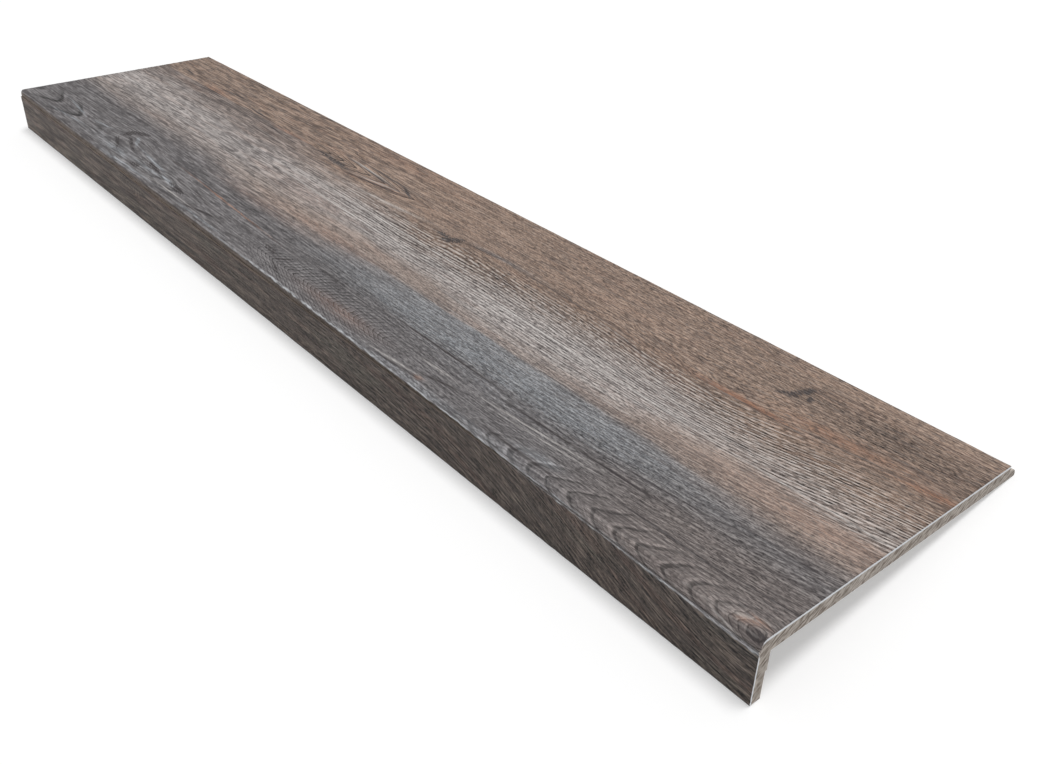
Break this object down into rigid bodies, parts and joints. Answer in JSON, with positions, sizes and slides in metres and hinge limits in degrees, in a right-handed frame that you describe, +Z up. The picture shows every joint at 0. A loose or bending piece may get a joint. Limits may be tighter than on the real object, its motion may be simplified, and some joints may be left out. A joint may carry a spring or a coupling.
{
  "type": "stair tread",
  "caption": "Wood-look stair tread cap: a flat faced board with a front apron, a thin ledge under the rounded nose and a rounded tongue along the rear edge.",
  "frame": {"origin": "centre of the bounding box, on the floor under the part", "axes": "+X along the tread's length, +Y from the apron towards the rear tongue, +Z up. The part lies tipped back about the X axis by 8.4 degrees, as it rests unheld"},
  "size_m": [1.22, 0.272, 0.05],
  "materials": {
    "core": "sawn grey-beige core, matt",
    "walking_grain": "weathered grey-brown wood grain, embossed, matt",
    "apron_grain": "darker grey-brown wood grain, embossed, matt"
  },
  "bodies": {
    "root": {"tread_board": "core", "apron_strip": "core", "walking_sheet": "walking_grain", "front_sheet": "apron_grain"}
  },
  "joints": []
}
